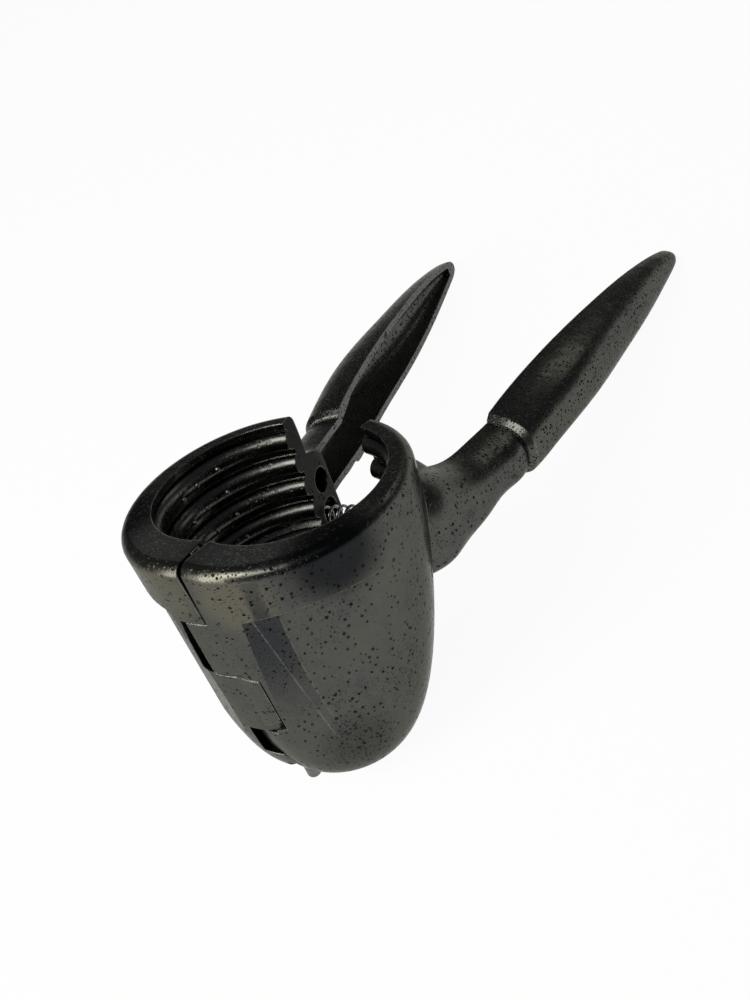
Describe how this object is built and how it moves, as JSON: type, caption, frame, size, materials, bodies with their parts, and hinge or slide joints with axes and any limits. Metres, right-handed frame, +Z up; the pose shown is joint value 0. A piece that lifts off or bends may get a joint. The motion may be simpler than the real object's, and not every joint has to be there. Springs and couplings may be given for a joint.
{
  "type": "nutcracker",
  "caption": "Hand-held nutcracker: cupped cast jaws on a hinge pin, with curved channel handles and a small return spring that holds them open.",
  "frame": {"origin": "under the middle of the whole nutcracker, on the surface it rests on", "axes": "+Y runs from the hinge to the grip ends, +X to the right lever when the cup's mouth faces up, +Z up"},
  "size_m": [0.068, 0.1492, 0.0645],
  "materials": {
    "lever_metal": "dark gunmetal casting, satin, finely pitted",
    "pin_steel": "plain drawn steel",
    "spring_steel": "dark spring steel wire"
  },
  "bodies": {
    "right": {"right_lever": "lever_metal", "hinge_pin": "pin_steel", "return_spring": "spring_steel"},
    "left": {"left_lever": "lever_metal"}
  },
  "joints": [
    {"name": "lever_hinge", "type": "hinge", "parent": "right", "child": "left", "pos_m": [0, -0.06723, 0.02956], "axis": [0, -0.2359, -0.9718], "range_deg": [0, 23.2], "stiffness_Nm_per_rad": 1.1, "springref_deg": -17.19, "deforming": ["return_spring"]}
  ]
}
